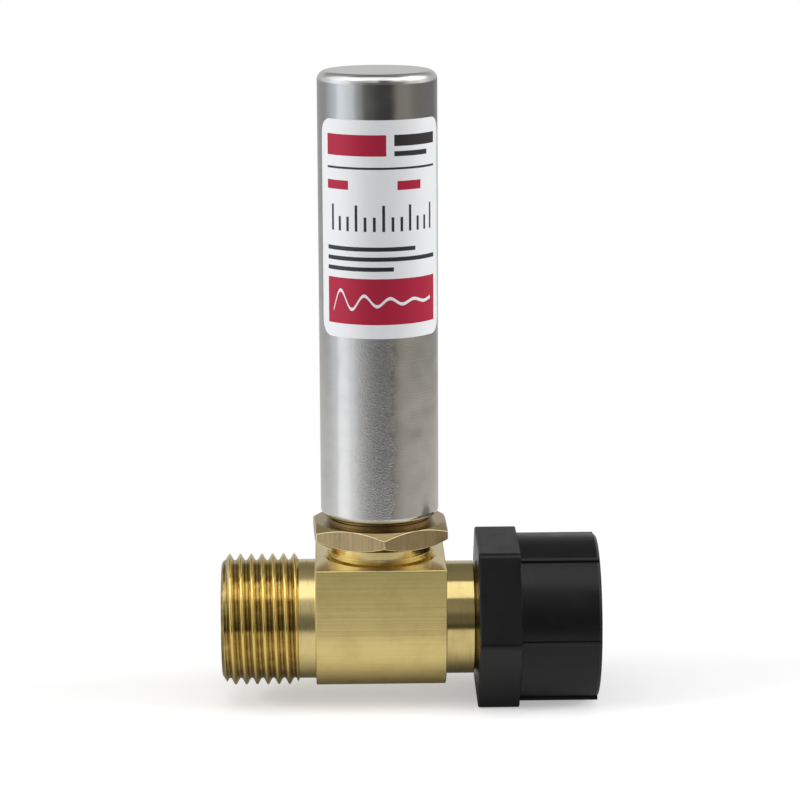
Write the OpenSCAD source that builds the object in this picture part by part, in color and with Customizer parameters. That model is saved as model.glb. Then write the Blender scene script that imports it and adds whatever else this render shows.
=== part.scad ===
// Water hammer arrestor on a hose thread tee, in millimetres.
// A sealed chamber tube with a sliding piston stands on a brass tee.
// The tee has a male hose thread on the left and a swivel nut on the right.
// The origin is the centre of the swivel nut's mouth.
// X points out of that mouth and Z points up along the chamber tube.

/* [Chamber tube] */
// Outside diameter of the drawn tube
tube_d = 24; // [21:0.5:28]
// Wall of the tube
tube_wall = 0.8; // [0.5:0.1:1.2]
// Length from the rolled rim to the closed top
tube_len = 90.4; // [72:0.2:120]
// Outside radius of the closed top's edge
top_round = 1.9; // [1.3:0.1:5]
// Outside radius of the rim that is rolled under the adapter
rim_round = 1.3; // [1.3:0.1:1.8]

/* [Label] */
// Width of the label along the tube's curve
label_w = 29.3; // [15:0.1:45]
// Height of the label
label_h = 43.4; // [20:0.1:55]
// Distance from the tube's top down to the label
label_drop = 8.8; // [6:0.1:15]
// Thickness of the label
label_t = 0.12; // [0.08:0.01:0.3]
// Radius of the label's corners
label_corner = 3; // [0.5:0.1:5]
// Turn of the label's middle from the front towards +X
label_turn = 4.5; // [-180:0.5:180]

/* [Hex adapter] */
// Distance across the flats of the hex
hex_af = 26.7; // [25:0.1:32]
// Height of the hex
hex_h = 4; // [3:0.1:8]
// Depth of the chamfer on the hex corners, along the axis
hex_chamfer = 1.15; // [0.4:0.05:1.4]
// Turn of the hex from having a corner at the front
hex_turn = 2.5; // [-30:0.5:30]
// Diameter of the collar that passes through the tube's rim
collar_d = 19.8; // [16:0.1:20]
// Height of the step at the foot of the collar
collar_step = 0.6; // [0.3:0.1:1.2]
// Gap between the hex and the tube's rim
rim_gap = 1.2; // [1:0.05:4]
// Height of the flange inside the tube
flange_h = 7; // [4.5:0.1:12]
// Diameter of the tapered pipe thread at the hex
pipe_d = 21.5; // [19:0.1:23]
// Length of pipe thread that shows above the tee
pipe_show = 3.6; // [1:0.1:8]
// Length of pipe thread inside the tee
pipe_engage = 6.3; // [4:0.1:7]
// Diameter of the water passage through the adapter
adapter_bore = 13; // [8:0.1:14]

/* [Piston] */
// Length of the piston
piston_len = 20; // [16:0.5:28]
// Thickness of the piston's crown
piston_crown = 4; // [2:0.5:8]
// Wall from the piston's side to its hollow
piston_wall = 4; // [3.5:0.1:6]
// Distance of each piston ring groove from the nearer end
ring_inset = 4.6; // [3:0.1:6]
// Section of the sealing rings
ring_d = 1.9; // [1.4:0.1:2.4]

/* [Tee body] */
// Width of the block along the run
block_w = 26.5; // [25:0.5:34]
// Depth of the block, which is also twice the radius of its round underside
block_d = 27.2; // [26.6:0.1:34]
// Height of the flat top above the run's axis
block_top = 13.45; // [13:0.05:18]
// Radius along the edges of the flat top
block_edge = 0.7; // [0.3:0.1:2]
// Diameter of the waterway through the block
run_bore = 13.5; // [9:0.5:14]
// Depth of the countersink round the branch hole
branch_sink = 0.8; // [0.3:0.1:1.2]

/* [Hose thread spigot] */
// Outside diameter of the hose thread
hose_d = 26.8; // [26:0.1:28]
// Pitch of the hose thread, 11.5 threads to the inch
hose_pitch = 2.209; // [1.8:0.001:2.6]
// Number of ridges on the spigot
hose_turns = 7; // [4:1:10]
// Plain length at the open end, before the first ridge
hose_land = 0.4; // [0.3:0.1:2]
// Plain length between the last ridge and the block
spigot_plain = 3.6; // [2:0.1:8]
// Diameter of the plain length
spigot_d = 24.4; // [24.1:0.1:26]
// Diameter of the bore in the spigot
spigot_bore = 17; // [14:0.5:19]
// Depth of the chamfer at the mouth of that bore
spigot_chamfer = 0.6; // [0.2:0.1:1.2]

/* [Tail] */
// Diameter of the tail that the nut turns on
tail_d = 23.1; // [21:0.1:23.6]
// Length of tail that shows between the block and the nut
tail_show = 6.45; // [3:0.05:12]
// Length of tail past the retaining ring
tail_tip = 1.8; // [1:0.1:4]
// Diameter of the bore in the tail
tail_bore = 16; // [14:0.5:17]
// Wire diameter of the split ring that keeps the nut on
wire_d = 1.6; // [1.2:0.1:2]
// Angle left open in the split ring
wire_open = 40; // [15:1:90]

/* [Swivel nut] */
// Distance across the flats of the collar
nut_af = 33.1; // [31:0.1:38]
// Radius of the collar's corners
nut_corner = 1.6; // [0.4:0.1:3]
// Length of the collar
nut_collar = 8.5; // [6:0.1:14]
// Diameter of the barrel
barrel_d = 34; // [31.5:0.1:36]
// Width of each rib on the barrel
rib_w = 1; // [0.6:0.1:3]
// Height of each rib above the barrel
rib_h = 0.5; // [0.2:0.1:1.5]
// Turn of the nut's corners and ribs about the run
nut_turn = 4; // [0:0.5:60]
// Thickness of the lip that turns on the tail
nut_lip = 3.2; // [2:0.1:6]
// Bore at the crests of the female hose thread
nut_thread_d = 24.38; // [24:0.01:25]
// Length of the female hose thread
nut_thread_len = 14.5; // [10:0.1:20]
// Diameter of the pocket behind the thread
nut_pocket_d = 27.4; // [26.8:0.1:29]
// Depth of the chamfer at the nut's mouth
mouth_chamfer = 0.6; // [0.3:0.1:0.7]

/* [Hose washer] */
// Outside diameter of the washer
washer_d = 25.4; // [25.2:0.1:26.4]
// Hole in the washer
washer_hole = 15.9; // [12:0.1:19]
// Thickness of the washer
washer_t = 3.2; // [2:0.1:4]

/* [Clearances] */
// Radial gap between the nut's lip and the tail
turn_gap = 0.1; // [0.05:0.01:0.4]
// Gap along the axis where the nut turns against fixed pieces
end_gap = 0.2; // [0.1:0.05:0.6]
// Gap between fixed pieces that seat on each other
seat_gap = 0.03; // [0.01:0.01:0.1]
// Radial gap between the piston and the tube
piston_gap = 0.25; // [0.1:0.05:0.5]
// Radial gap between the piston's rings and the tube
seal_gap = 0.08; // [0.02:0.01:0.1]
// Length given to each ring groove beyond the ring's section
groove_slack = 0.4; // [0.1:0.1:1]

/* [Hidden] */
$fn = 96;

brass = [0.80, 0.65, 0.28];
steel = [0.66, 0.65, 0.63];
white = [0.95, 0.95, 0.94];
black = [0.09, 0.09, 0.10];
rubber = [0.13, 0.13, 0.13];
resin = [0.88, 0.87, 0.82];
wire = [0.55, 0.55, 0.56];

// A cut runs this far past the face that it opens
past = 1;

// Levels up the branch, from the run's axis
adapter_z = block_top - pipe_engage;
hex_z = block_top + pipe_show;
hex_top = hex_z + hex_h;
rim_z = hex_top + rim_gap;
tube_top = rim_z + tube_len;
tube_r = tube_d / 2;
tube_ri = tube_r - tube_wall;
rim_inside = max(rim_round - tube_wall, seat_gap);
flange_z = rim_z + tube_wall + seat_gap;
flange_top = flange_z + flange_h;
piston_z = flange_top + end_gap;
piston_r = tube_ri - piston_gap;

// Pipe threads taper by one part in sixteen on the diameter
pipe_slope = 1 / 32;
pipe_r_top = pipe_d / 2;
pipe_r_tip = pipe_r_top - (hex_z - adapter_z) * pipe_slope;
pipe_r_face = pipe_r_top - pipe_show * pipe_slope;

// A sixty degree thread with flats of an eighth of the pitch
hose_flat = hose_pitch / 8;
hose_depth = (hose_pitch - 2 * hose_flat) / 2 / tan(30);
hose_root_r = hose_d / 2 - hose_depth;
hose_base = hose_pitch - hose_flat;
thread_zone = hose_land + hose_base + (hose_turns - 1) * hose_pitch;

// Stations along the run, from the branch's axis
spigot_x = block_w / 2 + spigot_plain + thread_zone;
nut_x = block_w / 2 + tail_show;
lip_x = nut_x + nut_lip;
wire_x = lip_x + end_gap + wire_d / 2;
tail_x = wire_x + wire_d / 2 + tail_tip;
washer_x = tail_x + end_gap;
thread_x = washer_x + washer_t;
mouth_x = thread_x + nut_thread_len;

// The split ring stands half out of its groove in the tail
wire_r = tail_d / 2;
lip_r = tail_d / 2 + turn_gap;

// Moves a piece that is drawn about the branch into the part's frame
module placed() {
    translate([-mouth_x, 0, 0]) children();
}

// Turns a piece that is drawn up Z so that it lies along the run
module along_run() {
    rotate([0, 90, 0]) children();
}

// A revolved section with round lower and upper outside corners
module drum(r, z0, z1, low_round, high_round) {
    rotate_extrude() {
        translate([0, z0 + low_round]) square([r, z1 - z0 - low_round - high_round]);
        translate([0, z0]) square([r - low_round, low_round]);
        translate([0, z1 - high_round]) square([r - high_round, high_round]);
        intersection() {
            translate([r - low_round, z0 + low_round]) circle(low_round);
            translate([0, z0]) square([r, low_round]);
        }
        intersection() {
            translate([r - high_round, z1 - high_round]) circle(high_round);
            translate([0, z1 - high_round]) square([r, high_round]);
        }
    }
}

// A sealing ring with its middle at height z
module seal(r_out, z) {
    translate([0, 0, z]) rotate_extrude() translate([r_out - ring_d / 2, 0]) circle(d = ring_d);
}

// The groove that a sealing ring sits in, open at radius r_side
module seal_groove(r_out, z, r_side) {
    groove_h = ring_d + groove_slack;
    floor_r = r_out - ring_d - seat_gap;
    translate([0, 0, z - groove_h / 2]) rotate_extrude() {
        translate([floor_r, 0]) square([r_side + past - floor_r, groove_h]);
    }
}

// A hexagonal prism cut back by a cone at each end
module chamfered_hex(af, h, chamfer) {
    corner_r = af / sqrt(3);
    chamfer_r = corner_r - chamfer * sqrt(3);
    intersection() {
        cylinder(d = 2 * corner_r, h = h, $fn = 6);
        rotate_extrude() polygon([
            [0, 0], [chamfer_r, 0], [corner_r, chamfer],
            [corner_r, h - chamfer], [chamfer_r, h], [0, h]
        ]);
    }
}

// Section of the spigot, from the open end to inside the block, as radius and station
function spigot_section() = concat(
    [[0, -spigot_x], [hose_root_r - hose_land, -spigot_x], [hose_root_r, -spigot_x + hose_land]],
    [for (i = [0 : hose_turns - 1]) each ridge(-spigot_x + hose_land + i * hose_pitch)],
    [
        [spigot_d / 2, -spigot_x + thread_zone + abs(spigot_d / 2 - hose_root_r)],
        [spigot_d / 2, -block_w / 2 + past],
        [0, -block_w / 2 + past]
    ]
);

// One thread ridge that starts at station x
function ridge(x) = [
    [hose_root_r, x],
    [hose_d / 2, x + (hose_base - hose_flat) / 2],
    [hose_d / 2, x + (hose_base + hose_flat) / 2],
    [hose_root_r, x + hose_base]
];

module spigot() {
    along_run() rotate_extrude() polygon(spigot_section());
}

// The tail, with a groove for the split ring
module tail() {
    groove_r = wire_r - wire_d / 2 - seat_gap;
    groove_half = wire_d / 2 + seat_gap;
    tip_chamfer = 0.4;
    along_run() rotate_extrude() polygon([
        [0, block_w / 2 - past], [tail_d / 2, block_w / 2 - past],
        [tail_d / 2, wire_x - groove_half], [groove_r, wire_x - groove_half],
        [groove_r, wire_x + groove_half], [tail_d / 2, wire_x + groove_half],
        [tail_d / 2, tail_x - tip_chamfer], [tail_d / 2 - tip_chamfer, tail_x], [0, tail_x]
    ]);
}

// A flat top on a half round, with soft edges along the top
module block() {
    half = block_d / 2;
    edge_y = half - block_edge;
    translate([-block_w / 2, 0, 0]) {
        along_run() cylinder(r = half, h = block_w);
        translate([0, -half, 0]) cube([block_w, block_d, block_top - block_edge]);
        translate([0, -edge_y, 0]) cube([block_w, 2 * edge_y, block_top]);
        for (side = [-1, 1])
            translate([0, side * edge_y, block_top - block_edge])
                along_run() cylinder(r = block_edge, h = block_w);
    }
}

// The stepped bore from the spigot's end to the tail's end
module waterway() {
    spigot_step = (spigot_bore - run_bore) / 2;
    tail_step = (tail_bore - run_bore) / 2;
    along_run() rotate_extrude() polygon([
        [0, -spigot_x - past], [spigot_bore / 2 + spigot_chamfer, -spigot_x - past],
        [spigot_bore / 2 + spigot_chamfer, -spigot_x], [spigot_bore / 2, -spigot_x + spigot_chamfer],
        [spigot_bore / 2, -block_w / 2 - spigot_step], [run_bore / 2, -block_w / 2],
        [run_bore / 2, block_w / 2], [tail_bore / 2, block_w / 2 + tail_step],
        [tail_bore / 2, tail_x + past], [0, tail_x + past]
    ]);
}

// The tapered branch hole, its countersink and the port into the run
module branch_hole() {
    hole_r_low = pipe_r_tip + seat_gap;
    hole_r_top = pipe_r_face + seat_gap;
    sink_r = hole_r_top + branch_sink;
    low_z = adapter_z - end_gap;
    rotate_extrude() polygon([
        [0, 0], [adapter_bore / 2, 0], [adapter_bore / 2, low_z], [hole_r_low, low_z],
        [hole_r_low, adapter_z], [hole_r_top, block_top - branch_sink],
        [sink_r, block_top], [sink_r, block_top + past], [0, block_top + past]
    ]);
}

module tee_body() {
    color(brass) placed() difference() {
        union() {
            block();
            spigot();
            tail();
        }
        waterway();
        branch_hole();
    }
}

module hex_adapter() {
    flange_r = tube_ri - seat_gap;
    collar_r = collar_d / 2;
    step_r = collar_r + collar_step;
    color(brass) placed() difference() {
        union() {
            rotate_extrude() polygon([
                [0, adapter_z], [pipe_r_tip, adapter_z], [pipe_r_top, hex_z],
                [pipe_r_top, hex_z + past], [0, hex_z + past]
            ]);
            translate([0, 0, hex_z]) rotate([0, 0, hex_turn - 90])
                chamfered_hex(hex_af, hex_h, hex_chamfer);
            rotate_extrude() polygon([
                [0, hex_top - past], [step_r, hex_top - past], [step_r, hex_top + collar_step],
                [collar_r, hex_top + collar_step], [collar_r, flange_z],
                [flange_r - rim_inside, flange_z], [flange_r, flange_z + rim_inside],
                [flange_r, flange_top], [0, flange_top]
            ]);
        }
        translate([0, 0, adapter_z - past])
            cylinder(d = adapter_bore, h = flange_top - adapter_z + 2 * past);
        seal_groove(tube_ri - seat_gap, flange_z + flange_h / 2, flange_r);
    }
}

// A cup with a closed top and a rim rolled in under the adapter's flange
module chamber_tube() {
    inner_top_round = max(top_round - tube_wall, seat_gap);
    color(steel) placed() difference() {
        drum(tube_r, rim_z, tube_top, rim_round, top_round);
        drum(tube_ri, rim_z + tube_wall, tube_top - tube_wall, rim_inside, inner_top_round);
        translate([0, 0, rim_z - past]) cylinder(d = collar_d + 2 * seat_gap, h = tube_wall + 2 * past);
    }
}

// A thin sheet wrapped round the tube
module chamber_label() {
    inner_r = tube_r + seat_gap;
    sweep = label_w / inner_r * 180 / PI;
    low_z = tube_top - label_drop - label_h;
    color(white) placed() rotate([0, 0, label_turn - 90]) difference() {
        rotate([0, 0, -sweep / 2]) rotate_extrude(angle = sweep)
            translate([inner_r, low_z]) square([label_t, label_h]);
        for (side = [-1, 1], end = [0, 1])
            rotate([0, 0, side * sweep / 2]) translate([inner_r, 0, low_z + end * label_h])
                mirror([0, (1 + side) / 2, 0]) mirror([0, 0, end]) label_corner_cut();
    }
}

// What a round corner leaves out of a square one
module label_corner_cut() {
    reach = label_corner + past;
    difference() {
        translate([-past, -past, -past]) cube([label_t + 2 * past, reach, reach]);
        translate([-2 * past, label_corner, label_corner]) rotate([0, 90, 0])
            cylinder(r = label_corner, h = label_t + 4 * past);
    }
}

module adapter_ring() {
    color(rubber) placed() seal(tube_ri - seat_gap, flange_z + flange_h / 2);
}

// A moulded cup, hollow towards the air
module piston() {
    seal_r = tube_ri - seal_gap;
    piston_top = piston_z + piston_len;
    edge = 0.6;
    color(resin) placed() difference() {
        rotate_extrude() polygon([
            [0, piston_z], [piston_r - edge, piston_z], [piston_r, piston_z + edge],
            [piston_r, piston_top - edge], [piston_r - edge, piston_top],
            [piston_r - piston_wall, piston_top],
            [piston_r - piston_wall, piston_z + piston_crown], [0, piston_z + piston_crown]
        ]);
        seal_groove(seal_r, piston_z + ring_inset, piston_r);
        seal_groove(seal_r, piston_top - ring_inset, piston_r);
    }
}

module piston_ring_lower() {
    color(rubber) placed() seal(tube_ri - seal_gap, piston_z + ring_inset);
}

module piston_ring_upper() {
    color(rubber) placed() seal(tube_ri - seal_gap, piston_z + piston_len - ring_inset);
}

// A hexagon with round corners, the first of them on +X
module soft_hexagon(af, corner) {
    reach = (af / 2 - corner) / cos(30);
    middles = [for (i = [0 : 5]) reach * [cos(60 * i), sin(60 * i)]];
    polygon([
        for (i = [0 : 5], side = [-30, 30])
            middles[i] + corner * [cos(60 * i + side), sin(60 * i + side)]
    ]);
    for (middle = middles) translate(middle) circle(corner);
}

// The nut's outside, drawn up Z from the collar's face: a hex collar and a ribbed barrel
module nut_outside() {
    nut_len = mouth_x - nut_x;
    rib_r = barrel_d / 2 + rib_h;
    linear_extrude(nut_collar) soft_hexagon(nut_af, nut_corner);
    rotate_extrude() polygon([
        [0, 0], [nut_af / 2, 0], [nut_af / 2, nut_collar], [barrel_d / 2, nut_collar],
        [barrel_d / 2, nut_len - mouth_chamfer], [barrel_d / 2 - mouth_chamfer, nut_len], [0, nut_len]
    ]);
    intersection() {
        cylinder(r = rib_r, h = nut_len);
        for (i = [0 : 2])
            rotate([0, 0, i * 60]) translate([-rib_r, -rib_w / 2, 0]) cube([2 * rib_r, rib_w, nut_len]);
    }
}

// The nut's inside, as radius and station: lip, pocket, threaded bore and mouth
module nut_inside() {
    thread_r = nut_thread_d / 2;
    pocket_r = nut_pocket_d / 2;
    along_run() rotate_extrude() polygon([
        [0, nut_x - past], [lip_r, nut_x - past], [lip_r, lip_x], [pocket_r, lip_x],
        [pocket_r, thread_x], [thread_r, thread_x], [thread_r, mouth_x - mouth_chamfer],
        [thread_r + mouth_chamfer, mouth_x], [thread_r + mouth_chamfer, mouth_x + past],
        [0, mouth_x + past]
    ]);
}

module swivel_nut() {
    color(black) placed() difference() {
        translate([nut_x, 0, 0]) along_run() rotate([0, 0, nut_turn + 30]) nut_outside();
        nut_inside();
    }
}

module nut_retaining_ring() {
    color(wire) placed() translate([wire_x, 0, 0]) along_run() rotate([0, 0, wire_open / 2])
        rotate_extrude(angle = 360 - wire_open) translate([wire_r, 0]) circle(d = wire_d);
}

module hose_washer() {
    color(rubber) placed() translate([washer_x, 0, 0]) along_run() difference() {
        cylinder(d = washer_d, h = washer_t);
        translate([0, 0, -past]) cylinder(d = washer_hole, h = washer_t + 2 * past);
    }
}

tee_body();
hex_adapter();
chamber_tube();
chamber_label();
adapter_ring();
piston();
piston_ring_lower();
piston_ring_upper();
swivel_nut();
nut_retaining_ring();
hose_washer();
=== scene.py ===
import math
import bpy
import bmesh
from mathutils import Matrix, Vector


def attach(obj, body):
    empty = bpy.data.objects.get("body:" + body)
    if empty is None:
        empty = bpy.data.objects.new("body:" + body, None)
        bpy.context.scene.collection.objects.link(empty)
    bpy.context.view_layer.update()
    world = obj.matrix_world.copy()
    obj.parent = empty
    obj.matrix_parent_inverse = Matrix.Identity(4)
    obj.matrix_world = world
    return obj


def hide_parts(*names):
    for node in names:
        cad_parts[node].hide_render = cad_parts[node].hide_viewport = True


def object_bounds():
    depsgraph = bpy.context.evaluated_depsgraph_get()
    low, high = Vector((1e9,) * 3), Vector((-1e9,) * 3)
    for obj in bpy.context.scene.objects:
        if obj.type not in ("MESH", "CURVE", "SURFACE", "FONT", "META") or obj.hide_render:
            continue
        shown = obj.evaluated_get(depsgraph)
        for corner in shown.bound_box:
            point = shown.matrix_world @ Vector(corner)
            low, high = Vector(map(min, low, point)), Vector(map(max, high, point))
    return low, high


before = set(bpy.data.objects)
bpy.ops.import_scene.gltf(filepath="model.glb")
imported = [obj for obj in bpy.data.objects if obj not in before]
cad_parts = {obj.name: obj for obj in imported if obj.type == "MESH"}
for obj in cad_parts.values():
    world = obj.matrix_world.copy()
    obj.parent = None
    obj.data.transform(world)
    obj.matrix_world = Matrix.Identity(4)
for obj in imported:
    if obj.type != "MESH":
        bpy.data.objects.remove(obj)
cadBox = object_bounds()
scene = bpy.context.scene
mm = 0.001
fineReach, weldReach = 1e-6, 2e-6  # points closer than this are one, in metres
branchX = -44.4  # the chamber's axis, from the nut's mouth
print("frame loaded:", len(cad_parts), "nodes")


# places a point that is drawn up Z in mm: along the run, or up the branch
def onRun(p):
    return Vector((branchX + p[2], p[1], -p[0])) * mm


def onBranch(p):
    return Vector((branchX + p[0], p[1], p[2])) * mm


branchMatrix = Matrix.Translation((branchX * mm, 0, 0))
runMatrix = branchMatrix @ Matrix.Rotation(math.pi / 2, 4, "Y")


# node helpers

# sets an input to a value, or links it
def plug(tree, value, socket):
    if isinstance(value, (int, float, tuple)):
        socket.default_value = value
    else:
        tree.links.new(value, socket)


# a new node: first its settings, then its inputs by name or place
def addNode(tree, kind, inputs=(), **settings):
    node = tree.nodes.new(kind)
    for name, value in settings.items():
        setattr(node, name, value)
    for name, value in dict(inputs).items():
        plug(tree, value, node.inputs[name])
    return node.outputs


def calc(tree, operation, *values):
    return addNode(tree, "ShaderNodeMath", enumerate(values), operation=operation)[0]


def times(tree, a, b):
    return calc(tree, "MULTIPLY", a, b)


def plus(tree, a, b):
    return calc(tree, "ADD", a, b)


def minus(tree, a, b):
    return calc(tree, "SUBTRACT", a, b)


def vectorCalc(tree, operation, *values):
    outputs = addNode(tree, "ShaderNodeVectorMath", enumerate(values), operation=operation)
    return outputs["Value" if operation == "LENGTH" else "Vector"]


def scaled(tree, vector, factor):
    return addNode(tree, "ShaderNodeVectorMath", {0: vector, "Scale": factor}, operation="SCALE")[0]


def splitXyz(tree, vector):
    return addNode(tree, "ShaderNodeSeparateXYZ", {0: vector})


def joinXyz(tree, *parts):
    return addNode(tree, "ShaderNodeCombineXYZ", enumerate(parts))[0]


def spread(tree, value, low, high, toLow=0.0, toHigh=1.0, kind="SMOOTHSTEP"):
    return addNode(tree, "ShaderNodeMapRange", {
        "Value": value, "From Min": low, "From Max": high, "To Min": toLow, "To Max": toHigh,
    }, interpolation_type=kind)["Result"]


def noise(tree, vector, scale, detail=3.0, roughness=0.5, kind="3D"):
    return addNode(tree, "ShaderNodeTexNoise", {
        "W" if kind == "1D" else "Vector": vector, "Scale": scale, "Detail": detail, "Roughness": roughness,
    }, noise_dimensions=kind)[0]


def blendColor(tree, factor, a, b):
    a, b = ((*color, 1.0) if isinstance(color, tuple) else color for color in (a, b))
    return addNode(tree, "ShaderNodeMix", {"Factor": factor, 6: a, 7: b}, data_type="RGBA")[2]


# a node group: its inputs with their defaults, which say what kind they are, and the kinds of its outputs
def newGroup(name, kind, inputs, **outputs):
    kinds = {float: "Float", int: "Int", tuple: "Vector", type(None): "Material"}
    tree = bpy.data.node_groups.new(name, kind)
    for label, socket in outputs.items():
        tree.interface.new_socket(label, in_out="OUTPUT", socket_type="NodeSocket" + socket)
    for label, value in inputs.items():
        socket = "NodeSocket" + kinds[type(value)]
        item = tree.interface.new_socket(label, in_out="INPUT", socket_type=socket)
        if value is not None:
            item.default_value = value
    return tree, addNode(tree, "NodeGroupInput"), tree.nodes.new("NodeGroupOutput").inputs


# shared shader effects

# fine machining lines: tilts the normal across the lines
def makeMachinedLines():
    tree, got, give = newGroup("machinedLines", "ShaderNodeTree", {
        "Across": 0.0, "Tilt Axis": (1, 0, 0), "Coordinate": (0, 0, 0),
        "Line Width": 0.05, "Strength": 0.1, "Waver": 0.2,
    }, Normal="Vector", Line="Float")
    waver = times(tree, noise(tree, got["Coordinate"], 0.35, 2.0), got["Waver"])
    across = calc(tree, "DIVIDE", plus(tree, got["Across"], waver), got["Line Width"])
    line = noise(tree, across, 1.0, 5.0, 0.75, "1D")
    lean = times(tree, minus(tree, line, 0.5), got["Strength"])
    normal = addNode(tree, "ShaderNodeNewGeometry")["Normal"]
    tilted = vectorCalc(tree, "ADD", normal, scaled(tree, got["Tilt Axis"], lean))
    plug(tree, vectorCalc(tree, "NORMALIZE", tilted), give["Normal"])
    plug(tree, line, give["Line"])
    return tree


# soft blotches of handling and tarnish
def makeTarnish():
    tree, got, give = newGroup("tarnish", "ShaderNodeTree", {
        "Coordinate": (0, 0, 0), "Size": 5.0, "Low": 0.45, "High": 0.7,
    }, Mask="Float")
    shrink = calc(tree, "DIVIDE", 1.0, got["Size"])
    cloud = noise(tree, scaled(tree, got["Coordinate"], shrink), 1.0, 6.0, 0.6)
    plug(tree, spread(tree, cloud, got["Low"], got["High"]), give["Mask"])
    return tree


# sparse long scuffs on a coordinate that is already stretched along them
def makeScuffs():
    tree, got, give = newGroup("scuffs", "ShaderNodeTree", {
        "Coordinate": (0, 0, 0), "Edge": 0.68, "Soft": 0.05,
    }, Mask="Float")
    streak = noise(tree, got["Coordinate"], 1.0, 2.0, 0.4)
    top = plus(tree, got["Edge"], got["Soft"])
    plug(tree, spread(tree, streak, got["Edge"], top), give["Mask"])
    return tree


# even mottling of a moulded or rubber surface
def makeMouldGrain():
    tree, got, give = newGroup("mouldGrain", "ShaderNodeTree", {
        "Coordinate": (0, 0, 0), "Grain": 0.25,
    }, Height="Float", Cloud="Float")
    shrink = calc(tree, "DIVIDE", 1.0, got["Grain"])
    fine = scaled(tree, got["Coordinate"], shrink)
    plug(tree, noise(tree, fine, 1.0, 3.0, 0.6), give["Height"])
    plug(tree, noise(tree, fine, 0.06, 4.0, 0.55), give["Cloud"])
    return tree


machinedLines, tarnish = makeMachinedLines(), makeTarnish()
scuffs, mouldGrain = makeScuffs(), makeMouldGrain()


# a material with one Principled BSDF and object coordinates in mm from the branch's axis
class Finish:
    def __init__(self, name, roughness, metallic=0.0):
        self.material = bpy.data.materials.new(name)
        self.material.use_nodes = True
        self.tree = self.material.node_tree
        self.tree.nodes.clear()
        self.shader = self.tree.nodes.new("ShaderNodeBsdfPrincipled")
        self.shader.inputs["Roughness"].default_value = roughness
        self.shader.inputs["Metallic"].default_value = metallic
        addNode(self.tree, "ShaderNodeOutputMaterial", {0: self.shader.outputs[0]})
        self.place = addNode(self.tree, "ShaderNodeMapping", {
            0: addNode(self.tree, "ShaderNodeTexCoord")["Object"],
            "Scale": (1 / mm, 1 / mm, 1 / mm), "Location": (-branchX, 0, 0),
        })[0]
        self.x, self.y, self.z = splitXyz(self.tree, self.place)

    def group(self, tree, **values):
        inputs = {name.replace("_", " "): value for name, value in values.items()}
        return addNode(self.tree, "ShaderNodeGroup", inputs, node_tree=tree)

    def clouds(self, size, low, high):
        return self.group(tarnish, Coordinate=self.place, Size=size, Low=low, High=high)["Mask"]

    def scuffed(self, stretch, edge, soft):
        stretched = vectorCalc(self.tree, "MULTIPLY", self.place, stretch)
        return self.group(scuffs, Coordinate=stretched, Edge=edge, Soft=soft)["Mask"]

    def feed(self, name, value):
        plug(self.tree, value, self.shader.inputs[name])

    def bump(self, height, distance, strength, **normal):
        inputs = {"Height": height, "Distance": distance * mm, "Strength": strength, **normal}
        self.feed("Normal", addNode(self.tree, "ShaderNodeBump", inputs)[0])

    # away from the branch's axis
    def outward(self):
        return joinXyz(self.tree, self.x, self.y, 0.0)

    # round the branch's axis
    def sideways(self):
        aside = joinXyz(self.tree, times(self.tree, self.y, -1.0), self.x, 0.0)
        return vectorCalc(self.tree, "NORMALIZE", aside)

    # distance from the run's axis
    def runRadius(self):
        return vectorCalc(self.tree, "LENGTH", joinXyz(self.tree, 0.0, self.y, self.z))


def joinedName(first, second):
    return first + second[0].upper() + second[1:]


# fresh and handled metal, roughness, then the reach and width of its machining lines
brassLook = {
    "drawn": {"fresh": (0.83, 0.67, 0.28), "handled": (0.58, 0.45, 0.17),
              "rough": 0.33, "lean": 0.22, "width": 0.30},
    "milled": {"fresh": (0.80, 0.65, 0.31), "handled": (0.52, 0.40, 0.18),
               "rough": 0.10, "lean": 0.08, "width": 0.30},
    "plain": {"fresh": (0.86, 0.71, 0.33), "handled": (0.62, 0.48, 0.20),
              "rough": 0.23, "lean": 0.22, "width": 0.09},
    "thread": {"fresh": (0.85, 0.68, 0.27), "handled": (0.58, 0.43, 0.15),
               "rough": 0.15, "lean": 0.14, "width": 0.10, "soil": 0.8},
    # the tail's brass is darker than the plain brass: painted shade from the black nut beside it
    "tail": {"fresh": (0.76, 0.61, 0.26), "handled": (0.46, 0.35, 0.13),
             "rough": 0.11, "lean": 0.05, "width": 0.12, "soil": 1.0},
    "neck": {"fresh": (0.84, 0.69, 0.33), "handled": (0.60, 0.46, 0.19),
             "rough": 0.19, "lean": 0.16, "width": 0.12},
    "hexSide": {"fresh": (0.46, 0.355, 0.19), "handled": (0.28, 0.205, 0.105),
                "rough": 0.24, "lean": 0.34, "width": 0.60},
    "hexTop": {"fresh": (0.50, 0.38, 0.18), "handled": (0.26, 0.18, 0.08),
               "rough": 0.22, "lean": 0.20, "width": 0.20},
    "hexEdge": {"fresh": (0.92, 0.80, 0.50), "handled": (0.80, 0.64, 0.32),
                "rough": 0.24, "lean": 0.10, "width": 0.30},
    # the collar's brass is very dark: painted shade in the narrow gap under the tube's rim
    "collar": {"fresh": (0.32, 0.22, 0.09), "handled": (0.16, 0.10, 0.045),
               "rough": 0.28, "lean": 0.20, "width": 0.15},
}
# what all brass shares: how far scuffs, clouds and lines darken it, and wear dulls it
brassWear = {
    "waver": 0.15, "scuff": (0.60, 0.14), "scuffShare": 0.4, "cloud": (6.0, 0.4, 0.75), "cloudShare": 0.35,
    "line": (0.3, 0.7), "lineShare": 0.32, "dulling": 0.16, "hexHalf": 13.35,
}
# darker brass in the thread's roots, between these radii and left of this station, in patches; painted shade in
# the tail's gap before the nut; sizes in mm
rootsAndGapShade = {
    "color": (0.24, 0.145, 0.040), "threadRoot": (12.75, 12.2), "threadBore": (10.5, 11.2), "threadEnd": -16.7,
    "patch": (2.2, 0.25, 0.6), "patchShare": 0.55, "tailGapShade": (11.48, 11.1),
}
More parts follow.
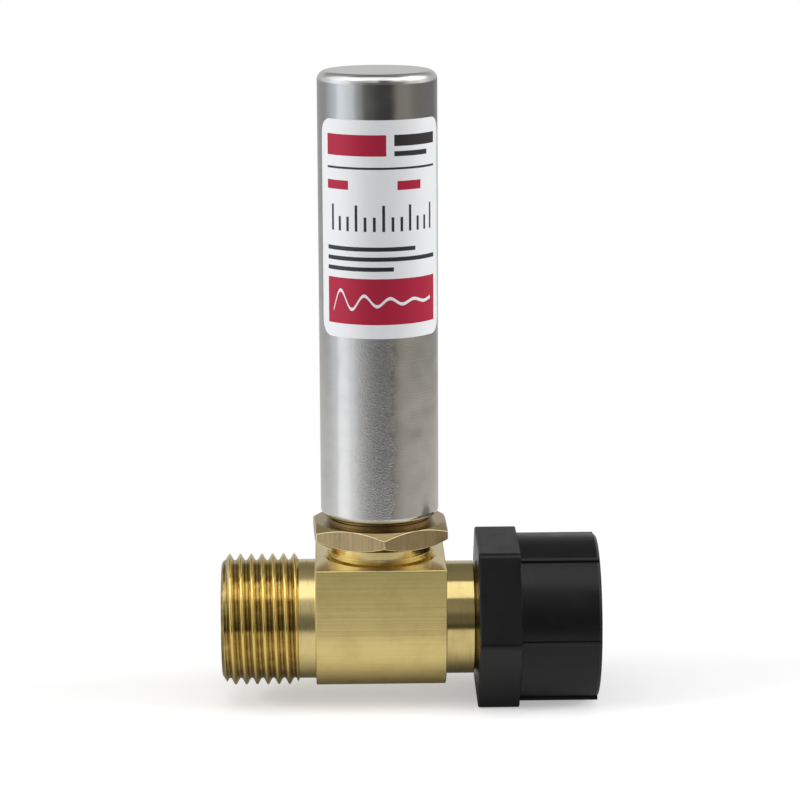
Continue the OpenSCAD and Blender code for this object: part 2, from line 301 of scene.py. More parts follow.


# lines run one way over the brass, and a darker colour fills the places it is given: the thread's roots, and
# painted shade in the tail's gap
def makeBrass(name, across, tilt, stretch, darkens=None):
    look, wear = brassLook[name], brassWear
    finish = Finish(joinedName("brass", name), look["rough"], 1.0)
    tree = finish.tree
    lines = finish.group(machinedLines, Across=across(finish), Tilt_Axis=tilt(finish),
                         Coordinate=finish.place, Line_Width=look["width"],
                         Strength=look["lean"], Waver=wear["waver"])
    marks = times(tree, finish.scuffed(stretch, *wear["scuff"]), wear["scuffShare"])
    cloud = times(tree, finish.clouds(*wear["cloud"]), wear["cloudShare"])
    worn = calc(tree, "MAXIMUM", marks, cloud)
    streak = spread(tree, lines["Line"], *wear["line"], 0.0, wear["lineShare"])
    color = blendColor(tree, plus(tree, worn, streak), look["fresh"], look["handled"])
    # darker brass in the thread's roots, and painted shade in the tail's gap
    if darkens:
        color = blendColor(tree, times(tree, darkens(finish), look["soil"]), color, rootsAndGapShade["color"])
    finish.feed("Base Color", color)
    finish.feed("Roughness", plus(tree, times(tree, worn, wear["dulling"]), look["rough"]))
    finish.feed("Normal", lines["Normal"])
    return finish.material


# the roots of the hose thread, in patches
def threadRoots(finish):
    tree, radius = finish.tree, finish.runRadius()
    deep = times(tree, spread(tree, radius, *rootsAndGapShade["threadRoot"]), spread(tree, radius, *rootsAndGapShade["threadBore"]))
    patch = times(tree, finish.clouds(*rootsAndGapShade["patch"]), rootsAndGapShade["patchShare"])
    patch = plus(tree, patch, 1 - rootsAndGapShade["patchShare"])
    onThread = calc(tree, "LESS_THAN", finish.x, rootsAndGapShade["threadEnd"])
    return times(tree, times(tree, deep, patch), onThread)


# painted shade in the gap between the tail's ring and the nut
def tailGapShade(finish):
    return spread(finish.tree, finish.runRadius(), *rootsAndGapShade["tailGapShade"])


def roundBranch(finish):
    return times(finish.tree, calc(finish.tree, "ARCTAN2", finish.y, finish.x), brassWear["hexHalf"])


def alongRun(finish):
    return finish.x


def upBranch(finish):
    return finish.z


turnedX, turnedZ = (3.0, 0.12, 0.12), (0.12, 0.12, 3.0)
brassDrawn = makeBrass("drawn", lambda f: plus(f.tree, f.z, times(f.tree, f.y, 0.7)),
                       lambda f: (0, 0.3, 1), (0.02, 1.3, 1.3))
brassMilled = makeBrass("milled", lambda f: f.y, lambda f: (0, 1, 0), (0.05, 1.3, 1.3))
brassPlain = makeBrass("plain", alongRun, lambda f: (1, 0, 0), turnedX)
brassThread = makeBrass("thread", alongRun, lambda f: (1, 0, 0), turnedX, threadRoots)
# the tail's finish carries painted shade: a darker brass, and its gap before the nut
brassTailShaded = makeBrass("tail", alongRun, lambda f: (1, 0, 0), turnedX, tailGapShade)
brassNeck = makeBrass("neck", upBranch, lambda f: (0, 0, 1), turnedZ)
brassHexSide = makeBrass("hexSide", roundBranch, Finish.sideways, (1.6, 1.6, 0.08))
brassHexTop = makeBrass("hexTop", lambda f: vectorCalc(f.tree, "LENGTH", f.outward()),
                        lambda f: vectorCalc(f.tree, "NORMALIZE", f.outward()), (0.4, 0.4, 0.4))
brassHexEdge = makeBrass("hexEdge", roundBranch, Finish.sideways, (1.2, 1.2, 1.2))
# painted shade: the collar's colour stands in for the tube's shadow over it
brassCollarShade = makeBrass("collar", upBranch, lambda f: (0, 0, 1), (0.3, 0.3, 3.0))

steelLook = {
    "bright": (0.66, 0.655, 0.645), "dull": (0.50, 0.495, 0.485),
    "tube": {"rough": 0.15, "lean": 0.12, "relief": 0.04}, "wire": {"rough": 0.20, "lean": 0.06, "relief": 0.01},
    "lineWidth": 0.14, "waver": 0.5, "dulling": 0.12,
    "speck": (0.9, 0.42, 0.72), "speckShare": 0.06, "cloud": (9.0, 0.45, 0.7), "cloudShare": 0.16,
    "scuff": ((0.5, 0.5, 3.0), 0.66, 0.1), "scuffShare": 0.2,
    # the stripe's middle, half width and top in mm, and how far its edges wander
    "stripeAt": -0.8, "stripeHalf": (4.6, 2.6), "stripeTop": (74.0, 66.0), "wander": 6.0, "wanderScale": 0.5,
    "pitScale": (3.2, 3.2, 5.6), "pitDepth": (0.02, 1.6), "rippleScale": 0.14, "ripple": 2.7,
}


# drawn steel: fine rings, a slow ripple, and a pitted stripe down the front, below the label
def makeSteel(name):
    steel, look = steelLook, steelLook[name]
    finish = Finish(joinedName("steel", name), look["rough"], 1.0)
    tree = finish.tree
    lines = finish.group(machinedLines, Across=finish.z, Tilt_Axis=(0, 0, 1), Coordinate=finish.place,
                         Line_Width=steel["lineWidth"], Strength=look["lean"], Waver=steel["waver"])
    speck = times(tree, finish.clouds(*steel["speck"]), steel["speckShare"])
    cloud = times(tree, finish.clouds(*steel["cloud"]), steel["cloudShare"])
    marks = times(tree, finish.scuffed(*steel["scuff"]), steel["scuffShare"])
    wear = plus(tree, plus(tree, speck, cloud), marks)
    finish.feed("Base Color", blendColor(tree, wear, steel["bright"], steel["dull"]))
    finish.feed("Roughness", plus(tree, times(tree, wear, steel["dulling"]), look["rough"]))
    wander = minus(tree, noise(tree, finish.place, steel["wanderScale"]), 0.5)
    aside = plus(tree, minus(tree, finish.x, steel["stripeAt"]), times(tree, wander, steel["wander"]))
    stripe = spread(tree, calc(tree, "ABSOLUTE", aside), *steel["stripeHalf"])
    front = times(tree, stripe, calc(tree, "LESS_THAN", finish.y, 0.0))
    front = times(tree, front, spread(tree, finish.z, *steel["stripeTop"]))
    pits = noise(tree, vectorCalc(tree, "MULTIPLY", finish.place, steel["pitScale"]), 1.0, 2.0, 0.6)
    pits = minus(tree, pits, 0.5)  # level with the plain steel beside it
    grit = times(tree, pits, spread(tree, front, 0.0, 1.0, *steel["pitDepth"]))
    ripple = times(tree, noise(tree, finish.place, steel["rippleScale"], 1.0), steel["ripple"])
    finish.bump(plus(tree, grit, ripple), look["relief"], 1.0, Normal=lines["Normal"])
    return finish.material


stainless, springWire = makeSteel("tube"), makeSteel("wire")

# dark and light tone, roughness, grain in mm, gloss
mouldLook = {
    "blackResin": ((0.0028, 0.0028, 0.0030), (0.0052, 0.0052, 0.0055), 0.31, 0.30, 0.33),
    "pistonResin": ((0.80, 0.79, 0.73), (0.74, 0.73, 0.67), 0.45, 0.40, 0.5),
    "sealRubber": ((0.012, 0.012, 0.012), (0.020, 0.020, 0.020), 0.42, 0.25, 0.5),
    "washerRubber": ((0.016, 0.016, 0.016), (0.030, 0.030, 0.030), 0.62, 0.35, 0.4),
}
mouldSkin = {
    "dust": (4.0, 0.45, 0.8), "shade": 0.6, "cloud": (0.2, 0.8), "smoother": 0.05, "rougher": 0.07,
    "relief": 0.02, "strength": 0.35,
}


def makeMoulded(name):
    dark, light, rough, grain, gloss = mouldLook[name]
    finish = Finish(name, rough)
    finish.feed("Specular IOR Level", gloss)
    tree = finish.tree
    skin = finish.group(mouldGrain, Coordinate=finish.place, Grain=grain)
    dust = finish.clouds(*mouldSkin["dust"])
    shade = times(tree, plus(tree, skin["Cloud"], dust), mouldSkin["shade"])
    finish.feed("Base Color", blendColor(tree, shade, dark, light))
    finish.feed("Roughness", spread(tree, skin["Cloud"], *mouldSkin["cloud"],
                                    rough - mouldSkin["smoother"], rough + mouldSkin["rougher"]))
    finish.bump(skin["Height"], mouldSkin["relief"], mouldSkin["strength"])
    return finish.material


blackResin, pistonResin = makeMoulded("blackResin"), makeMoulded("pistonResin")
sealRubber, washerRubber = makeMoulded("sealRubber"), makeMoulded("washerRubber")

# the label's print in mm; a bar is its middle across and up from the lower edge, then its half width and height
labelPrint = {
    "turn": 4.5, "radius": 12.15, "low": 60.45,
    "paper": (0.880, 0.900, 0.920), "crimson": (0.42, 0.012, 0.045), "charcoal": (0.022, 0.021, 0.022),
    "worn": (0.68, 0.70, 0.71), "wornCloud": (3.0, 0.3, 0.8), "wornShare": 0.06, "wornRough": 0.3,
    "rough": 0.33, "roughSpan": (0.30, 0.42),
    "panel": (0.0, 7.4, 12.6, 4.6),
    "wave": {"level": 7.4, "swing": 3.1, "length": 5.2, "decay": 0.11, "half": 0.32, "reach": 11.1},
    "crimsonBars": [(-6.0, 38.4, 6.6, 2.1), (-9.9, 30.5, 2.7, 0.9), (5.5, 30.5, 2.7, 0.9)],
    "charcoalBars": [(7.4, 39.4, 5.2, 1.1), (6.1, 36.8, 3.9, 0.5), (0.0, 33.9, 12.6, 0.22),
                     (-2.9, 17.9, 9.7, 0.42), (0.0, 15.9, 12.6, 0.42), (-5.3, 13.9, 7.3, 0.42)],
    "ticks": {"level": 24.0, "half": 2.6, "step": 1.85, "wide": 0.28, "count": 13, "short": 0.55, "longEach": 3},
}


def makeLabel():
    label, waves, scale = labelPrint, labelPrint["wave"], labelPrint["ticks"]
    finish = Finish("labelFilm", label["rough"])
    tree = finish.tree
    spin = calc(tree, "ARCTAN2", finish.x, times(tree, finish.y, -1.0))
    across = times(tree, minus(tree, spin, math.radians(label["turn"])), label["radius"])
    up = minus(tree, finish.z, label["low"])

    def bar(middle, level, halfWidth, halfHeight):
        return times(tree, calc(tree, "COMPARE", across, middle, halfWidth),
                     calc(tree, "COMPARE", up, level, halfHeight))

    def allOf(masks):
        whole = masks[0]
        for mask in masks[1:]:
            whole = calc(tree, "MAXIMUM", whole, mask)
        return whole

    # a wave that dies away from the panel's left end
    ebb = calc(tree, "EXPONENT", times(tree, plus(tree, across, label["panel"][2]), -waves["decay"]))
    swell = calc(tree, "SINE", times(tree, across, 2 * math.pi / waves["length"]))
    crest = plus(tree, times(tree, times(tree, ebb, swell), waves["swing"]), waves["level"])
    wave = times(tree, calc(tree, "COMPARE", up, crest, waves["half"]),
                 calc(tree, "COMPARE", across, 0.0, waves["reach"]))
    panel = calc(tree, "MAXIMUM", minus(tree, bar(*label["panel"]), wave), 0.0)
    crimson = allOf([panel] + [bar(*b) for b in label["crimsonBars"]])
    ticks = []
    for i in range(scale["count"]):
        tall = scale["half"] * (1 if i % scale["longEach"] == 0 else scale["short"])
        middle = (i - (scale["count"] - 1) / 2) * scale["step"]
        ticks.append(bar(middle, scale["level"] - scale["half"] + tall, scale["wide"], tall))
    charcoal = allOf(ticks + [bar(*b) for b in label["charcoalBars"]])
    cloud = finish.clouds(*label["wornCloud"])
    paper = blendColor(tree, times(tree, cloud, label["wornShare"]), label["paper"], label["worn"])
    inked = blendColor(tree, crimson, paper, label["crimson"])
    finish.feed("Base Color", blendColor(tree, charcoal, inked, label["charcoal"]))
    ink = calc(tree, "MAXIMUM", crimson, charcoal)
    dulled = plus(tree, ink, times(tree, cloud, label["wornRough"]))
    finish.feed("Roughness", spread(tree, dulled, 0.0, 1.0 + label["wornRough"], *label["roughSpan"]))
    return finish.material


labelFilm = makeLabel()
print("finishes made")


# mesh helpers

# turns corners (radius, station, round) into a profile with real rounds; most limits their share of a side
def roundedProfile(corners, steps=4, most=0.45):
    profile = []
    for i, (r, z, fillet) in enumerate(corners):
        here = Vector((r, z))
        if fillet <= 0 or i in (0, len(corners) - 1):
            profile.append(here)
            continue
        before, after = Vector(corners[i - 1][:2]) - here, Vector(corners[i + 1][:2]) - here
        reach = fillet / math.tan(before.angle(after) / 2)
        start = here + before.normalized() * min(reach, most * before.length)
        end = here + after.normalized() * min(reach, most * after.length)
        for k in range(steps + 1):
            t = k / steps
            profile.append(start * (1 - t) ** 2 + here * 2 * t * (1 - t) + end * t * t)
    return profile


# a profile's point (radius, station) turned round Z
def spun(p, angle):
    return p[0] * math.cos(angle), p[0] * math.sin(angle), p[1]


def latheRings(profile, columns, place):
    angles = [2 * math.pi * i / columns for i in range(columns)]
    return [[place(spun(p, a)) for a in angles] for p in profile]


# material is a number, or a rule by strip and column; skip leaves out one face
def loft(bm, rings, material, skip=None):
    rows = [[bm.verts.new(p) for p in ring] for ring in rings]
    count = len(rows[0])
    for strip, (low, high) in enumerate(zip(rows, rows[1:])):
        for i in range(count):
            if (strip, i) == skip:
                continue
            j = (i + 1) % count
            face = bm.faces.new((low[i], low[j], high[j], high[i]))
            face.material_index = material if isinstance(material, int) else material(strip, i)


# a flat face over the open edges that lie in one plane
def planeFill(bm, axis, station, material):
    def inPlane(edge):
        return all(abs(v.co[axis] - station * mm) < weldReach for v in edge.verts)

    edges = [e for e in bm.edges if len(e.link_faces) == 1 and inPlane(e)]
    for item in bmesh.ops.triangle_fill(bm, edges=edges, use_beauty=True)["geom"]:
        if isinstance(item, bmesh.types.BMFace):
            item.material_index = material


def addMesh(bm, mesh, material, soft=None):
    before = len(bm.faces)
    bm.from_mesh(mesh)
    bm.faces.ensure_lookup_table()
    for face in bm.faces[before:]:
        face.material_index = material
        if soft is not None:
            face[soft] = 1
    bpy.data.meshes.remove(mesh)


def weld(bm):
    bmesh.ops.remove_doubles(bm, verts=bm.verts, dist=weldReach)


def evaluatedMesh(holder):
    return bpy.data.meshes.new_from_object(holder.evaluated_get(bpy.context.evaluated_depsgraph_get()))


# one plain object from a bmesh, flat faces kept flat by weighted normals
def finishPiece(name, bm, materials, soft, sharpAngle=34.0, flatWeight=60):
    bmesh.ops.recalc_face_normals(bm, faces=bm.faces)
    for face in bm.faces:
        face.smooth = True
    for edge in bm.edges:
        if len(edge.link_faces) == 2 and not all(f[soft] for f in edge.link_faces):
            edge.smooth = edge.calc_face_angle(0.0) < math.radians(sharpAngle)
    openEdges = sum(len(e.link_faces) != 2 for e in bm.edges)
    volume = round(bm.calc_volume() / mm ** 3, 1)
    print(name, "faces", len(bm.faces), "open edges", openEdges, "volume", volume)
    rough = bpy.data.meshes.new(name + "Rough")
    bm.to_mesh(rough)
    bm.free()
    for material in materials:
        rough.materials.append(material)
    holder = bpy.data.objects.new(name, rough)
    scene.collection.objects.link(holder)
    weighted = holder.modifiers.new("weighted", "WEIGHTED_NORMAL")
    weighted.keep_sharp = True
    weighted.weight = flatWeight
    final = evaluatedMesh(holder)
    final.name = name
    holder.modifiers.clear()
    holder.data = final
    bpy.data.meshes.remove(rough)
    return holder


# runs a geometry tree on an empty object and keeps the plain mesh
def growMesh(name, tree, values, matrix):
    empty = bpy.data.meshes.new(name)
    holder = bpy.data.objects.new(name, empty)
    scene.collection.objects.link(holder)
    modifier = holder.modifiers.new("shape", "NODES")
    modifier.node_group = tree
    for item in tree.interface.items_tree:
        if item.in_out == "INPUT" and item.name in values:
            modifier[item.identifier] = values[item.name]
    mesh = evaluatedMesh(holder)
    bpy.data.objects.remove(holder)
    bpy.data.meshes.remove(empty)
    mesh.transform(matrix)
    return mesh


# ends a geometry tree: real meshes with their finish
def giveShape(tree, geometry, finish, give):
    real = addNode(tree, "GeometryNodeRealizeInstances", {0: geometry})[0]
    painted = addNode(tree, "GeometryNodeSetMaterial", {"Geometry": real, "Material": finish})[0]
    plug(tree, painted, give["Geometry"])


# a screw thread as a sheet whose rows follow the helix, drawn up Z
def makeThreadTree():
    tree, got, give = newGroup("screwThread", "GeometryNodeTree", {
        "Columns": 160, "Rows": 140, "Rows Per Turn": 16.0, "Pitch": 0.002, "Phase": 0.0,
        "Start": 0.0, "End": 0.015, "Root Radius": 0.012, "Depth": 0.0014, "Crest Flat": 0.0003,
        "Taper": 0.0, "Side": 1.0, "Start Radius": 0.0115, "Start Slope": 1.0,
        "End Radius": 0.012, "End Slope": 1.0, "Fade Slope": 1.0, "Finish": None,
    }, Geometry="Geometry")
    flank = math.sqrt(3)  # sixty degree thread
    grid = addNode(tree, "GeometryNodeMeshGrid", {
        "Vertices X": plus(tree, got["Columns"], 1.0), "Vertices Y": plus(tree, got["Rows"], 1.0),
    })
    at = splitXyz(tree, addNode(tree, "GeometryNodeInputPosition")[0])
    u, v = plus(tree, at[0], 0.5), plus(tree, at[1], 0.5)
    climb = calc(tree, "DIVIDE", times(tree, v, got["Rows"]), got["Rows Per Turn"])
    turns = minus(tree, plus(tree, climb, u), plus(tree, got["Phase"], 1.0))
    free = plus(tree, times(tree, turns, got["Pitch"]), got["Start"])
    z = calc(tree, "MAXIMUM", calc(tree, "MINIMUM", free, got["End"]), got["Start"])
    fromStart, toEnd = minus(tree, z, got["Start"]), minus(tree, got["End"], z)
    # how far a point lies from the middle of a crest, then how high the ridge is there
    beat = plus(tree, minus(tree, calc(tree, "DIVIDE", fromStart, got["Pitch"]), u), got["Phase"])
    off = calc(tree, "ABSOLUTE", minus(tree, calc(tree, "FRACT", beat), 0.5))
    off = minus(tree, times(tree, off, got["Pitch"]), times(tree, got["Crest Flat"], 0.5))
    rise = minus(tree, got["Depth"], times(tree, off, flank))
    rise = calc(tree, "MAXIMUM", calc(tree, "MINIMUM", rise, got["Depth"]), 0.0)
    root = minus(tree, times(tree, got["Root Radius"], got["Side"]), times(tree, toEnd, got["Taper"]))
    # cones cut the run-in and the run-out
    startRadius, endRadius = (times(tree, got[name], got["Side"]) for name in ("Start Radius", "End Radius"))
    startCone = plus(tree, startRadius, times(tree, fromStart, got["Start Slope"]))
    endCone = plus(tree, endRadius, times(tree, toEnd, got["End Slope"]))
    fade = minus(tree, endRadius, times(tree, toEnd, got["Fade Slope"]))
    height = calc(tree, "MINIMUM", plus(tree, root, rise), startCone)
    height = calc(tree, "MAXIMUM", calc(tree, "MINIMUM", height, endCone), fade)
    radius = times(tree, height, got["Side"])
    angle = times(tree, u, 2 * math.pi)
    spot = joinXyz(tree, times(tree, radius, calc(tree, "COSINE", angle)),
                   times(tree, radius, calc(tree, "SINE", angle)), z)
    moved = addNode(tree, "GeometryNodeSetPosition", {"Geometry": grid["Mesh"], "Position": spot})[0]
    merged = addNode(tree, "GeometryNodeMergeByDistance", {"Geometry": moved, "Distance": fineReach})[0]
    giveShape(tree, merged, got["Finish"], give)
    return tree


threadTree = makeThreadTree()
# what the threads share unless they say otherwise, and which of their sizes are lengths in mm
threadBase = {"columns": 160, "rowsPerTurn": 16.0, "pitch": 2.209, "crestFlat": 0.276, "taper": 0.0, "side": 1.0}
threadLengths = ("pitch", "start", "end", "rootRadius", "depth", "crestFlat", "startRadius", "endRadius")


# the tree's inputs from a piece's sizes: rootRadius sets Root Radius, and so on
def growThread(name, thread, matrix, finish):
    turns = (thread["end"] - thread["start"]) / thread["pitch"] + 2
    values = {"Rows": math.ceil(turns * thread["rowsPerTurn"]), "Finish": finish}
    for key, size in thread.items():
        label = "".join(" " + c if c.isupper() else c for c in key).title()
        values[label] = size * mm if key in threadLengths else size
    return growMesh(name, threadTree, values, matrix)


# the tee

tee = {
    "blockHalf": 13.25, "blockDeep": 13.6, "blockTop": 13.45, "topEdge": 0.4, "endBevel": 0.22,
    "edgeSteps": 6, "underSteps": 72, "bevelSteps": 3, "seat": 0.4, "seatRound": 0.25,
    "spigotPlain": 12.2, "tailEnd": 26.5, "tail": 11.55, "tailChamfer": 0.4,
    "reliefFrom": 19.0, "reliefTo": 20.0, "relief": 10.75,  # a gap before the nut, darkened with painted shade
    "grooveFrom": 23.07, "grooveTo": 24.73, "groove": 10.72, "runBore": 9.15, "branchBore": 11.5,
}
hoseThread = {
    **threadBase, "phase": 0.25, "start": -32.437, "end": -16.65, "rootRadius": 12.12, "depth": 1.28,
    "startRadius": 11.5, "startSlope": 1.5, "endRadius": 12.2, "endSlope": 2.5, "fadeSlope": 0.7,
}


# the block's outline as (y, z), set in by some amount, from the top's right end round to its left end
def blockOutline(inset):
    deep, top = tee["blockDeep"] - inset, tee["blockTop"] - inset
    edge, edgeSteps, underSteps = tee["topEdge"] - inset, tee["edgeSteps"], tee["underSteps"]

    def topRound(side, turns):
        middle = side * (deep - edge)
        return [(middle + edge * math.cos(a), top - edge + edge * math.sin(a)) for a in turns]

    quarter = [math.pi / 2 * k / edgeSteps for k in range(edgeSteps + 1)]
    half = [-math.pi * k / underSteps for k in range(underSteps + 1)]
    under = [(deep * math.cos(a), deep * math.sin(a)) for a in half]
    return topRound(1, quarter[::-1]) + under + topRound(-1, [math.pi - a for a in quarter])


def blockRings():
    bevel, half, count = tee["endBevel"], tee["blockHalf"], tee["bevelSteps"]
    rings = []
    for side in (-1, 1):
        for k in range(count + 1)[::-side]:
            a = math.pi / 2 * k / count
            inset, x = bevel * (1 - math.sin(a)), side * (half - bevel * (1 - math.cos(a)))
            rings.append([Vector((branchX + x, y, z)) * mm for y, z in blockOutline(inset)])
    return rings


# the bores are the CAD's own inner faces
def boreFaces(node):
    inner = bmesh.new()
    inner.from_mesh(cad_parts[node].data)
    bmesh.ops.remove_doubles(inner, verts=inner.verts, dist=fineReach)

    def inRun(p):
        return math.hypot(p.y, p.z) < tee["runBore"] * mm

    def inBranch(p):
        return (math.hypot(p.x - branchX * mm, p.y) < tee["branchBore"] * mm
                and 0 < p.z < tee["blockTop"] * mm + fineReach)

    outside = [f for f in inner.faces
               if not (all(inRun(v.co) for v in f.verts) or all(inBranch(v.co) for v in f.verts))]
    bmesh.ops.delete(inner, geom=outside, context="FACES")
    mesh = bpy.data.meshes.new("bores")
    inner.to_mesh(mesh)
    inner.free()
    return mesh


def makeTee():
    bm = bmesh.new()
    soft = bm.faces.layers.int.new("soft")
    drawn, threaded, turned, tailTurned, milled = range(5)
    t = tee
    half, plain, tail, tailEnd = t["blockHalf"], t["spigotPlain"], t["tail"], t["tailEnd"]
    rings = blockRings()
    loft(bm, rings, drawn, skip=(t["bevelSteps"], len(rings[0]) - 1))  # the top stays open for the branch hole
    addMesh(bm, growThread("hoseThread", hoseThread, runMatrix, brassThread), threaded, soft)
    spigot = roundedProfile([
        (plain, hoseThread["end"], 0), (plain, -half, t["seatRound"]), (plain + t["seat"], -half, 0),
    ])
    loft(bm, latheRings(spigot, hoseThread["columns"], onRun), turned)
    tailProfile = roundedProfile([
        (tail + t["seat"], half, 0), (tail, half, t["seatRound"]), (tail, t["reliefFrom"], 0.12),
        (t["relief"], t["reliefFrom"], 0.1), (t["relief"], t["reliefTo"], 0.1), (tail, t["reliefTo"], 0.08),
        (tail, t["grooveFrom"], 0.08), (t["groove"], t["grooveFrom"], 0.1), (t["groove"], t["grooveTo"], 0.1),
        (tail, t["grooveTo"], 0.08), (tail, tailEnd - t["tailChamfer"], 0.1),
        (tail - t["tailChamfer"], tailEnd, 0),
    ])
    loft(bm, latheRings(tailProfile, hoseThread["columns"], onRun), tailTurned)
    addMesh(bm, boreFaces("tee_body"), turned)
    weld(bm)
    planeFill(bm, 0, branchX + hoseThread["start"], turned)
    planeFill(bm, 0, branchX - half, drawn)
    planeFill(bm, 0, branchX + half, drawn)
    planeFill(bm, 0, branchX + tailEnd, turned)
    planeFill(bm, 2, t["blockTop"], milled)
    return finishPiece("teeBody", bm, [brassDrawn, brassThread, brassPlain, brassTailShaded, brassMilled], soft)


teeBody = makeTee()
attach(teeBody, "tee_and_chamber")
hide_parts("tee_body")
print("tee made")


# the hex adapter

adapter = {
    "bore": 6.5, "hexLow": 17.05, "hexTop": 21.05, "flats": 26.7, "chamfer": 13.3, "hexTurn": -87.5,
    "corner": 0.3, "inCorner": 4, "onFlat": 26, "edge": 0.14, "edgeSteps": 3,
    "step": 10.5, "stepTop": 21.65, "collar": 9.9, "sealLow": 25.43, "sealHigh": 27.73, "sealFloor": 9.24,
    "flangeLow": 23.08, "flange": 11.17, "flangeChamfer": 0.5, "flangeTop": 30.08,
}
pipeThread = {
    **threadBase, "columns": 168, "pitch": 1.814, "phase": 0.1, "start": 7.15, "end": 17.05,
    "rootRadius": 9.45, "depth": 1.3, "crestFlat": 0.12, "taper": 1 / 32,
    "startRadius": 9.2, "startSlope": 1.2, "endRadius": 10.75, "endSlope": 5.0, "fadeSlope": 0.045,
}


# a hexagon's round corner: how far out its middle lies, and half the angle that it takes
def hexCorner(sizes):
    reach = (sizes["flats"] / 2 - sizes["corner"]) / math.cos(math.pi / 6)
    return reach, math.atan2(sizes["corner"] / 2, reach + sizes["corner"] * math.cos(math.pi / 6))


# radius of a hexagon with round corners, at an angle from one of its corners
def hexRadius(angle, sizes):
    reach, tangent = hexCorner(sizes)
    a = (angle + math.pi / 6) % (math.pi / 3) - math.pi / 6
    if abs(a) < tangent:
        return reach * math.cos(a) + math.sqrt(sizes["corner"] ** 2 - (reach * math.sin(a)) ** 2)
    return sizes["flats"] / 2 / math.cos(math.pi / 6 - abs(a))


# column angles that crowd round each corner of a hexagon
def hexAngles(sizes):
    tangent, inCorner, onFlat = hexCorner(sizes)[1], sizes["inCorner"], sizes["onFlat"]
    offsets = [tangent * (2 * k / inCorner - 1) for k in range(inCorner + 1)]
    span = math.pi / 3 - 2 * tangent
    offsets += [tangent + span * k / onFlat for k in range(1, onFlat)]
    return [math.pi / 3 * i + offset for i in range(6) for offset in offsets]


# rings of a hexagon whose columns follow a profile for their radius
def hexRings(sizes, profileAt, place):
    turn = math.radians(sizes["hexTurn"])
    columns = []
    for a in hexAngles(sizes):
        profile = profileAt(hexRadius(a, sizes))
        columns.append([place(spun(p, a + turn)) for p in profile])
    return [list(ring) for ring in zip(*columns)]


# a flat side cut back by a cone at each end, with fine rounds on every edge
def adapterColumn(r):
    low, top, limit, edge = adapter["hexLow"], adapter["hexTop"], adapter["chamfer"], adapter["edge"]
    drop = (r - limit) / math.sqrt(3)
    return roundedProfile([
        (limit - 1, low, 0), (limit, low, edge), (r, low + drop, edge),
        (r, top - drop, edge), (limit, top, edge), (limit - 1, top, 0),
    ], adapter["edgeSteps"])


def makeAdapter():
    bm = bmesh.new()
    soft = bm.faces.layers.int.new("soft")
    neck, side, top, edge, collar = range(5)
    a = adapter
    sideStrip = 2 * a["edgeSteps"] + 2  # two rounds, a flat and a cone lie below it

    # burnished rounds stand between the sides and the turned ends
    def hexPaint(strip, column):
        away = abs(strip - sideStrip)
        inCorner = column % (a["inCorner"] + a["onFlat"]) < a["inCorner"]
        if 0 < away <= a["edgeSteps"] or (away == 0 and inCorner):
            return edge
        return side if away == 0 else top

    addMesh(bm, growThread("pipeThread", pipeThread, branchMatrix, brassNeck), neck, soft)
    loft(bm, hexRings(a, adapterColumn, onBranch), hexPaint)
    upper = roundedProfile([
        (a["step"] + 0.3, a["hexTop"], 0), (a["step"], a["hexTop"], 0.12), (a["step"], a["stepTop"], 0.12),
        (a["collar"], a["stepTop"], 0.12), (a["collar"], a["flangeLow"], 0.05),
        (a["flange"] - a["flangeChamfer"], a["flangeLow"], 0.05),
        (a["flange"], a["flangeLow"] + a["flangeChamfer"], 0.05), (a["flange"], a["sealLow"], 0.05),
        (a["sealFloor"], a["sealLow"], 0.1), (a["sealFloor"], a["sealHigh"], 0.1),
        (a["flange"], a["sealHigh"], 0.05), (a["flange"], a["flangeTop"], 0.2),
        (a["bore"], a["flangeTop"], 0.2), (a["bore"], pipeThread["start"], 0),
    ])
    loft(bm, latheRings(upper, pipeThread["columns"], onBranch), collar)
    weld(bm)
    planeFill(bm, 2, pipeThread["start"], neck)
    planeFill(bm, 2, a["hexLow"], top)
    planeFill(bm, 2, a["hexTop"], top)
    materials = [brassNeck, brassHexSide, brassHexTop, brassHexEdge, brassCollarShade]
    return finishPiece("hexAdapter", bm, materials, soft)


hexAdapter = makeAdapter()
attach(hexAdapter, "tee_and_chamber")
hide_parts("hex_adapter")
print("adapter made")


# the swivel nut

nut = {
    "left": 19.7, "collarEnd": 28.2, "mouth": 44.4, "flats": 33.1, "corner": 1.6, "hexTurn": 34.0,
    "inCorner": 10, "onFlat": 16, "barrel": 17.0, "leftSoft": 0.45, "stepSoft": 0.28, "stepBend": 0.3,
    "mouthChamfer": 0.6, "lip": 11.65, "lipEnd": 22.9, "pocket": 13.7,
}
nutThread = {
    **threadBase, "phase": 0.4, "start": 29.9, "end": 44.4, "rootRadius": 13.625, "depth": 1.435, "side": -1.0,
    "startRadius": 13.7, "startSlope": 1.2, "endRadius": 12.79, "endSlope": 1.0, "fadeSlope": 1.4,
}
nutRibs = {
    "count": 6, "width": 1.15, "crest": 0.62, "height": 0.5, "sink": 0.3, "round": 0.2, "from": 28.0, "to": 44.2,
}


# the hex collar, a softened step down or up to the round barrel, and the chamfered mouth
def nutColumn(r):
    n, barrel, collarEnd, bend = nut, nut["barrel"], nut["collarEnd"], nut["stepBend"]
    step = max(-n["stepSoft"], min(n["stepSoft"], (r - barrel) / 2))
    collar = roundedProfile([(r - 2, n["left"], 0), (r, n["left"], n["leftSoft"]), (r, n["left"] + 3, 0)], 5)
    middle = [
        (r, collarEnd - abs(step)), (r - step * bend, collarEnd - abs(step) * bend), (r - step, collarEnd),
        (barrel + step, collarEnd), (barrel + step * bend, collarEnd + abs(step) * bend),
        (barrel, collarEnd + abs(step) + 0.01),
    ]
    mouth = roundedProfile([
        (barrel, n["mouth"] - 3, 0), (barrel, n["mouth"] - n["mouthChamfer"], 0.25),
        (barrel - n["mouthChamfer"], n["mouth"], 0.15), (barrel - 1.2, n["mouth"], 0),
    ], 3)
    return collar + middle + mouth


